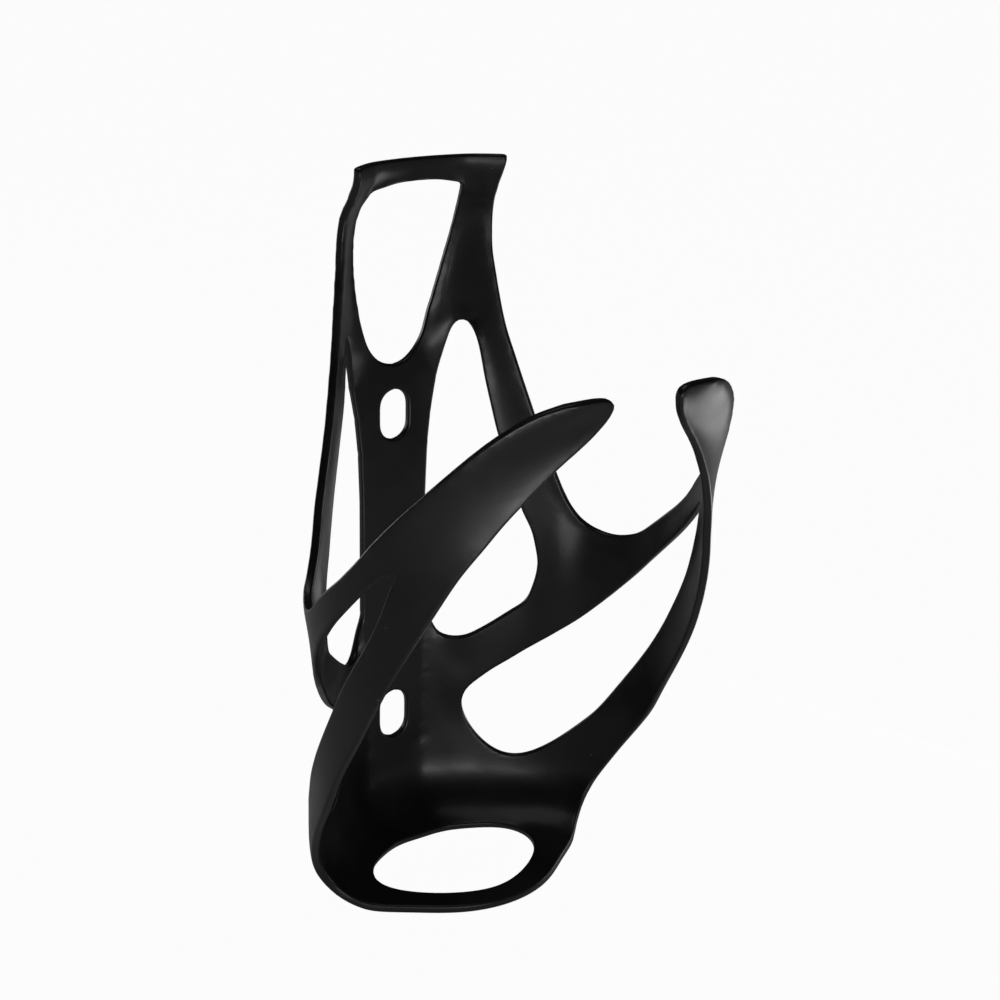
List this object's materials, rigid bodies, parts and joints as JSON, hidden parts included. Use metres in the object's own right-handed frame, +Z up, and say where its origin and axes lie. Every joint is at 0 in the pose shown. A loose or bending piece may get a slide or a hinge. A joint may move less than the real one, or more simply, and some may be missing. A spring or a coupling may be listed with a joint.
{
  "type": "bottle cage",
  "caption": "Open moulded bicycle bottle cage with a slotted back plate, a lip over the bottle, sprung side arms that wrap round it and a cup-shaped base.",
  "frame": {"origin": "middle of the two bolt slots, on the face that lies against the bicycle frame", "axes": "+Y towards the bicycle frame, +Z up along the bottle, +X across the cage"},
  "size_m": [0.0796, 0.0798, 0.14],
  "materials": {
    "carbon": "satin black moulded carbon laminate"
  },
  "bodies": {
    "shell": {"back_plate": "carbon", "top_lip": "carbon", "base_cup": "carbon", "floor_toe": "carbon", "left_leg": "carbon", "left_strut": "carbon", "left_bridge": "carbon", "right_leg": "carbon", "right_strut": "carbon", "right_bridge": "carbon"},
    "left_arm": {"left_upper_band": "carbon", "left_lower_band": "carbon", "left_tab": "carbon"},
    "right_arm": {"right_upper_band": "carbon", "right_lower_band": "carbon", "right_tab": "carbon"}
  },
  "joints": [
    {"name": "left_arm_spread", "type": "hinge", "parent": "shell", "child": "left_arm", "pos_m": [-0.02829, -0.017, 0], "axis": [0, 0, -1], "range_deg": [0, 3.5], "stiffness_Nm_per_rad": 6},
    {"name": "right_arm_spread", "type": "hinge", "parent": "shell", "child": "right_arm", "pos_m": [0.02829, -0.017, 0], "axis": [0, 0, 1], "range_deg": [0, 3.5], "stiffness_Nm_per_rad": 6}
  ]
}
